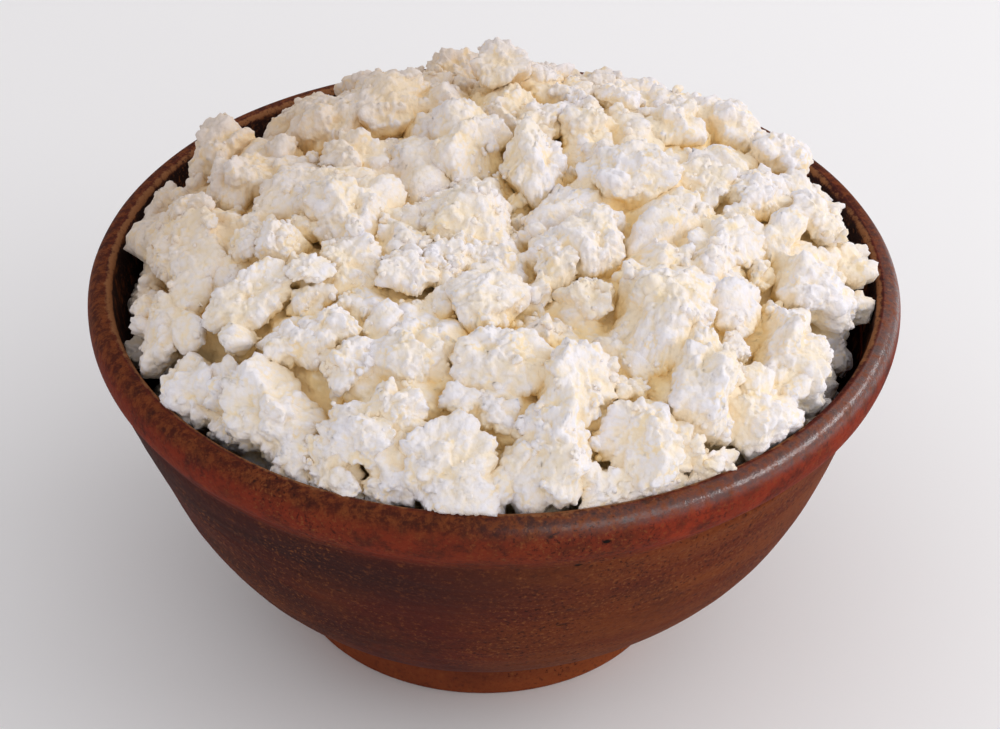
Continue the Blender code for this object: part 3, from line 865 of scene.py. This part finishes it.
def curd_finish(name):
    """Fresh curd: chalky white tops, cream painted into the pits and crevices as shade, gold painted into the
    deep crevices for light that has come through them, and painted shade towards the back left.
    """
    made = Recipe(name)
    pit = made.mark("pit")
    narrow = made.mark("narrow")
    wide = made.mark("wide")
    clouds = made.maths("SUBTRACT", made.noise(70, 3), 0.5)
    gaps = [made.maths("POWER", made.cells(scale), 2.0) for scale in (620, 1150)]
    # painted shade: a cream colour laid into the pits of the grains, between the bump's grains and in narrow
    # crevices, where shade falls
    between = made.maths("ADD", made.maths("MULTIPLY", pit, 0.7), made.maths("MULTIPLY", gaps[0], 0.35))
    cream = made.maths("ADD", between, made.maths("MULTIPLY", narrow, 0.7))
    tints = made.maths("MULTIPLY", made.maths("SUBTRACT", made.noise(24, 2), 0.5), 0.5)
    cream = made.ramp(made.maths("ADD", made.maths("ADD", cream, clouds), tints), 0.15, 1.0)
    colour = made.mix(cream, (0.93, 0.908, 0.945), (0.98, 0.852, 0.655))
    # painted light: gold laid into the deep crevices for light that glows through the curd
    deep = made.maths("ADD", made.maths("MULTIPLY", wide, narrow), made.maths("MULTIPLY", clouds, 0.4))
    colour = made.mix(made.ramp(deep, 0.25, 1.0, 0.0, 0.9), colour, (1.0, 0.778, 0.41))
    # painted light: patches of gold in the small hollows between the bump's grains, for light glowing through
    painted_hollow_glow = made.maths("MULTIPLY", made.ramp(gaps[0], 0.16, 0.42), made.ramp(made.noise(170, 3), 0.52, 0.66))
    colour = made.mix(made.maths("MULTIPLY", painted_hollow_glow, 0.6), colour, (1.0, 0.80, 0.47))
    # painted shade: the back left of the heap darkened and made creamier
    colour = made.mix(made.mark("painted_shade_back_left"), colour, (0.82, 0.74, 0.64), "MULTIPLY")
    normal = made.bump(made.noise(1300, 4, 0.65), 0.4, 0.2 * MM)
    for gap, amount in zip(gaps, (0.35 * MM, 0.2 * MM)):
        normal = made.bump(made.maths("SUBTRACT", 1.0, gap), 0.6, amount, normal)
    return made.finish(
        Base_Color=colour,
        Roughness=0.65,
        Specular_IOR_Level=0.12,
        Normal=normal,
    )


def earthenware_finish():
    """Red-brown glaze over thrown clay: faint streaks round the bowl, a worn tan lip, pits and specks."""
    made = Recipe("glazed_earthenware")
    streaks = made.noise(14, 6, 0.62, made.stretched((1, 1, 6)), 0.3)
    blotch = made.noise(15, 5, 0.6)
    mottle = made.noise(150, 5, 0.7)
    fine = made.noise(380, 5, 0.72)
    specks = made.noise(950, 3, 0.6)
    dark = (0.042, 0.015, 0.013)
    red = (0.118, 0.022, 0.013)
    rust = (0.125, 0.036, 0.014)
    colour = made.mix(made.ramp(streaks, 0.32, 0.72), (0.068, 0.015, 0.012), red)
    colour = made.mix(made.ramp(blotch, 0.42, 0.66, 0.0, 0.8), colour, rust)
    patches = made.noise(11, 7, 0.68, made.stretched((1, 1, 2.2)), 0.8)
    colour = made.mix(made.ramp(patches, 0.36, 0.53, 0.75, 0.0), colour, dark)
    # painted light: a lighter, more orange glaze laid over the right side of the body, where the light falls
    sunny = made.mix(made.ramp(streaks, 0.35, 0.62), (0.132, 0.026, 0.011), (0.185, 0.047, 0.014))
    in_sun = made.maths("MULTIPLY", made.mark("painted_light_right"), made.ramp(patches, 0.3, 0.55, 0.35, 0.85))
    colour = made.mix(in_sun, colour, sunny)
    in_shade = made.maths("MULTIPLY", made.mark("shade"), made.ramp(streaks, 0.2, 0.55))
    colour = made.mix(in_shade, colour, dark)
    foot_colour = made.mix(made.ramp(patches, 0.35, 0.6), (0.125, 0.030, 0.016), (0.21, 0.050, 0.019))
    # painted light: the foot lighter and more orange on the right
    foot_colour = made.mix(made.maths("MULTIPLY", made.mark("painted_light_right"), 1.2), foot_colour, (0.27, 0.068, 0.020))
    colour = made.mix(made.mark("foot"), colour, foot_colour)
    colour = made.mix(made.mark("olive"), colour, (0.080, 0.040, 0.014))
    glaze_red = made.mix(made.ramp(mottle, 0.42, 0.7, 0.0, 0.8), (0.275, 0.036, 0.015), dark)
    on_collar = made.maths("MULTIPLY", made.mark("collar"), made.ramp(blotch, 0.35, 0.6, 0.95, 0.45))
    colour = made.mix(on_collar, colour, glaze_red)
    lip_colour = made.mix(made.ramp(fine, 0.40, 0.62), (0.045, 0.015, 0.010), (0.170, 0.050, 0.017))
    colour = made.mix(made.ramp(fine, 0.54, 0.74, 0.0, 0.4), colour, (0.25, 0.075, 0.024))
    colour = made.mix(made.ramp(fine, 0.46, 0.30, 0.0, 0.5), colour, dark)
    colour = made.mix(made.maths("MULTIPLY", made.mark("lip"), 0.75), colour, lip_colour)
    scorch = made.mix(made.ramp(mottle, 0.50, 0.68), (0.026, 0.014, 0.013), (0.19, 0.062, 0.022))
    colour = made.mix(made.mark("inside"), colour, scorch)
    finely = made.maths("MULTIPLY", made.maths("SUBTRACT", fine, 0.2), 1.6)
    broadly = made.maths("MULTIPLY", made.maths("SUBTRACT", blotch, 0.5), 1.6)
    worn = made.maths("ADD", made.maths("ADD", made.mark("wear"), finely), broadly)
    colour = made.mix(made.ramp(worn, 0.88, 1.25), colour, (0.25, 0.105, 0.045))
    spread = made.ramp(made.noise(26, 4), 0.42, 0.62, 0.25, 0.8)
    pale_specks = made.maths("MULTIPLY", made.ramp(specks, 0.56, 0.68), spread)
    colour = made.mix(pale_specks, colour, (0.22, 0.075, 0.026))
    dark_specks = made.maths("MULTIPLY", made.ramp(specks, 0.44, 0.34), spread)
    colour = made.mix(dark_specks, colour, (0.022, 0.010, 0.009))
    holes = made.ramp(made.cells(75, made.stretched((1, 1, 1.8))), 0.05, 0.12, 1.0, 0.0)
    holes = made.maths("MULTIPLY", holes, made.ramp(made.noise(31, 2), 0.56, 0.62))
    colour = made.mix(holes, colour, (0.012, 0.008, 0.007))
    normal = made.bump(streaks, 0.2, 0.5 * MM)
    normal = made.bump(mottle, 0.4, 0.5 * MM, normal)
    normal = made.bump(specks, 0.6, 0.25 * MM, normal)
    normal = made.bump(fine, 0.5, 0.35 * MM, normal)
    normal = made.bump(made.maths("SUBTRACT", 1.0, holes), 0.6, 0.6 * MM, normal)
    return made.finish(
        Base_Color=colour,
        Roughness=0.6,
        Specular_IOR_Level=0.02,
        Coat_Weight=made.maths("MULTIPLY", made.mark("shine"), made.ramp(fine, 0.44, 0.66, 0.95, 0.3)),
        Coat_Roughness=0.17,
        Coat_IOR=1.9,
        Coat_Normal=made.bump(specks, 0.5, 0.3 * MM),
        Normal=normal,
    )


# ---------------------------------------------------------------- the object
clay = earthenware_finish()
curd = curd_finish("fresh_curd")

bowl = make_bowl(clay)
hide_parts("bowl")

heaped = laid_curds(HEAPED_CURDS)
rounded = laid_curds(ROUND_CURDS)
broken = laid_curds(BROKEN_CURDS, smoothness=0.5)
flakes = laid_curds(FLAKES, flatness=0.45, smoothness=0.8)
leaning = lip_curds(rng)
fillers = filler_curds([heaped, rounded, broken, leaning], 100, rng)

# each kind's curds, points along a grid's side, balls in a cluster, their least and greatest radius,
# broken faces, coarse grains, fine grains and seed
shapes = {
    "heap_core": shape_core(),
    "heaped_curds": shape_curds(heaped, 63, 9, (0.36, 0.62), 5, COARSE_GRAINS, FINE_GRAINS, 101),
    "round_curds": shape_curds(rounded, 52, 9, (0.34, 0.6), 4, COARSE_GRAINS, FINE_GRAINS, 102),
    "broken_curds": shape_curds(broken, 64, 7, (0.4, 0.65), 6, COARSE_GRAINS, FINE_GRAINS, 103),
    "curd_flakes": shape_curds(flakes, 62, 5, (0.5, 0.6), 4, SMALL_GRAINS, FINE_GRAINS, 104),
    "leaning_curds": shape_curds(leaning, 28, 7, (0.36, 0.55), 3, COARSE_GRAINS, FINE_GRAINS, 108),
    "filler_curds": shape_curds(fillers, 27, 7, (0.36, 0.55), 2, COARSE_GRAINS, FINE_GRAINS, 105),
}
maps = survey(shapes.values())
curd_shapes = list(shapes.values())
small = scattered_curds(curd_shapes, maps, 260, (1.5 * MM, 4.2 * MM), 1.0, (-0.4, 0.25), rng)
shapes["small_curds"] = shape_curds(small, 12, 5, (0.4, 0.6), 2, SMALL_GRAINS, FINE_GRAINS, 106)
crumbs = scattered_curds(curd_shapes, maps, 1300, (0.8 * MM, 2.2 * MM), 0.8, (-0.7, 0.05), rng)
shapes["curd_crumbs"] = shape_curds(crumbs, 6, 4, (0.4, 0.65), 0, (), (), 107)
shapes["heap_core"] = spread_underside(shapes["heap_core"])

pieces = [add_curds(name, shape, maps, curd) for name, shape in shapes.items()]
for piece in pieces:
    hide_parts("cottage_cheese")
for piece in [bowl, *pieces]:
    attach(piece, "root")

# ---------------------------------------------------------------- floor, light and camera
floor_mesh = bpy.data.meshes.new("floor")
floor_mesh.from_pydata([(-6, -6, 0), (6, -6, 0), (6, 6, 0), (-6, 6, 0)], [], [(0, 1, 2, 3)])
floor = bpy.data.objects.new("floor", floor_mesh)
bpy.context.collection.objects.link(floor)
pale = Recipe("pale_floor")
floor_mesh.materials.append(pale.finish(Base_Color=(0.96, 0.96, 0.96), Roughness=0.9))


def add_light(name, place, target, size, power, colour):
    """A soft oblong light at a place, turned to a target."""
    data = bpy.data.lights.new(name, "AREA")
    data.shape = "RECTANGLE"
    data.size, data.size_y = size
    data.energy = power
    data.color = colour
    lamp = bpy.data.objects.new(name, data)
    lamp.location = place
    lamp.rotation_euler = (Vector(target) - Vector(place)).to_track_quat("-Z", "Y").to_euler()
    bpy.context.collection.objects.link(lamp)


middle = (0.0, 0.0, 0.1)
add_light("key", (1.1, 0.1, 0.68), middle, (1.3, 0.5), 2.3, (1.0, 0.98, 0.985))
add_light("strip", (1.15, 0.05, 0.72), middle, (1.5, 0.12), 3.5, (1.0, 0.98, 0.985))
add_light("fill", (0.6, -1.1, 0.85), middle, (0.9, 0.9), 2.2, (1.0, 0.985, 1.0))
add_light("back", (0.8, 0.8, 0.9), middle, (1.0, 0.6), 1, (1.0, 0.985, 1.0))

world = bpy.data.worlds.new("studio")
world.use_nodes = True
world.node_tree.nodes["Background"].inputs["Color"].default_value = (1.0, 0.98, 1.0, 1.0)
world.node_tree.nodes["Background"].inputs["Strength"].default_value = 0.67
bpy.context.scene.world = world

CAMERA_DISTANCE = 0.88
CAMERA_RISE = math.radians(35.0)  # height of the camera above the rim's plane, as an angle
CAMERA_DIP = math.radians(1.66)  # how far below the rim's middle it looks
CAMERA_SWING = math.radians(0.143)
CAMERA_ROLL = math.radians(1.13)
camera_data = bpy.data.cameras.new("camera")
camera_data.lens = 116.8
camera = bpy.data.objects.new("camera", camera_data)
back = Vector((0.0, -math.cos(CAMERA_RISE), math.sin(CAMERA_RISE)))
camera.location = Vector((0.0, 0.0, RIM_TOP)) + back * CAMERA_DISTANCE
swung = Matrix.Rotation(-CAMERA_SWING, 3, "Z")
raised = Matrix.Rotation(math.pi / 2 - CAMERA_RISE - CAMERA_DIP, 3, "X")
camera.rotation_euler = (swung @ raised @ Matrix.Rotation(CAMERA_ROLL, 3, "Z")).to_euler()
bpy.context.collection.objects.link(camera)
bpy.context.scene.camera = camera
bpy.context.scene.view_settings.view_transform = "Standard"
